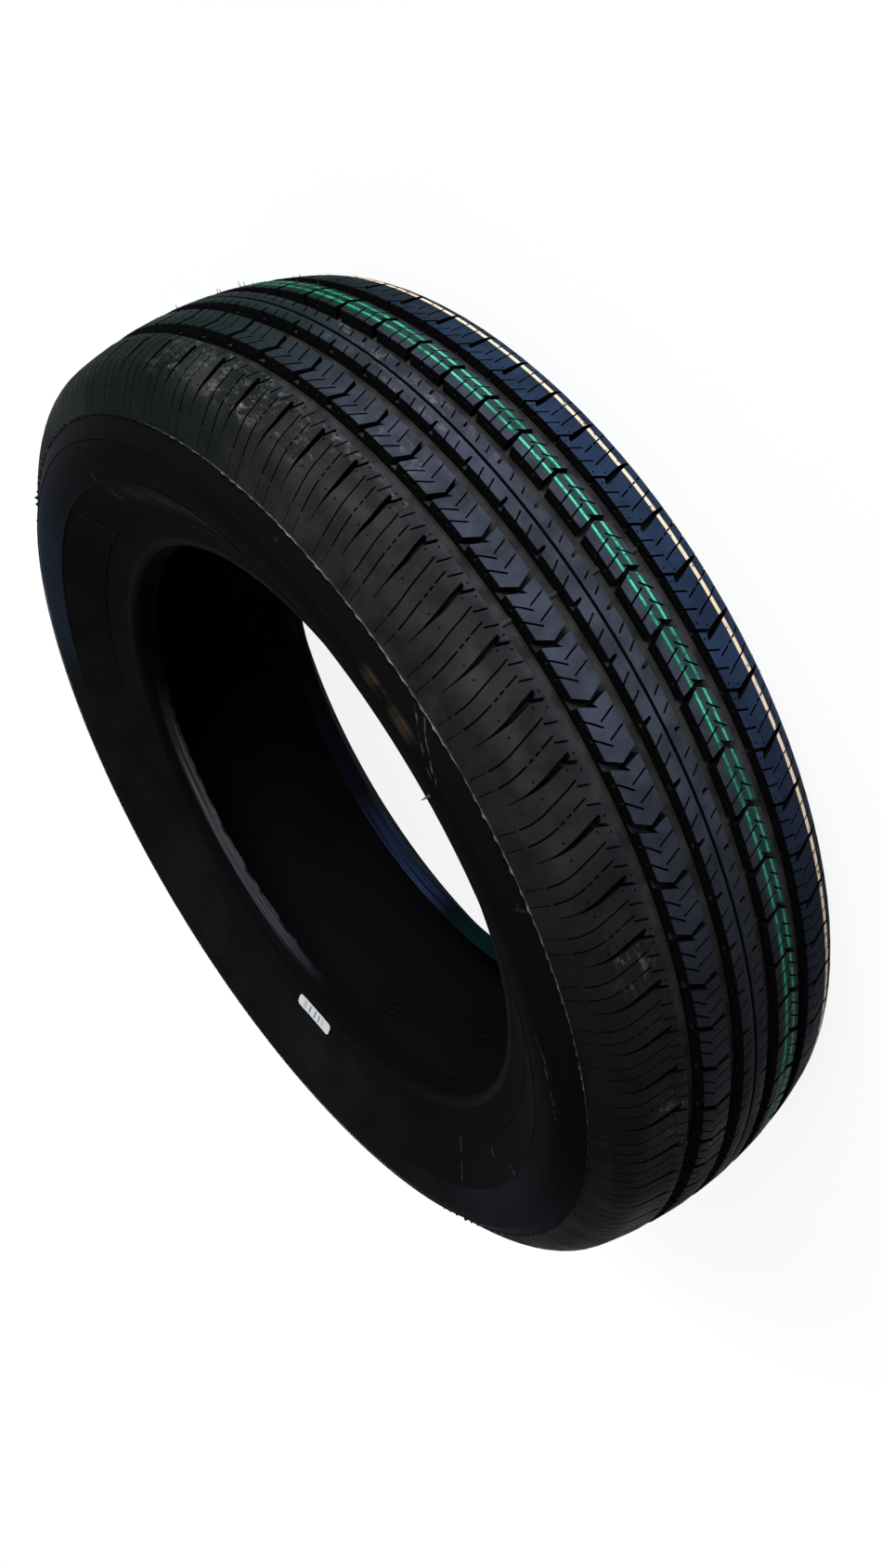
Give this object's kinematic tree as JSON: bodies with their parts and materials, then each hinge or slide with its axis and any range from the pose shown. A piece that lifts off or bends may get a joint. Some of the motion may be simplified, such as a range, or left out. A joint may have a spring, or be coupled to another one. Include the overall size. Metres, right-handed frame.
{
  "type": "car tyre",
  "caption": "Radial road tyre for a small car, with straight tread grooves, forked cross grooves, hooked shoulder slots, an open air chamber and a paper label by one bead.",
  "frame": {"origin": "middle of the tyre, on the axle line", "axes": "+Z along the axle, towards the sidewall that carries the paper label; X and Y lie in the plane of the wheel"},
  "size_m": [0.6214, 0.6214, 0.1862],
  "materials": {
    "tyre": "new black rubber, matt with a faint sheen",
    "paper": "white coated paper"
  },
  "bodies": {
    "root": {"tyre": "tyre", "bead_label": "paper"}
  },
  "joints": []
}
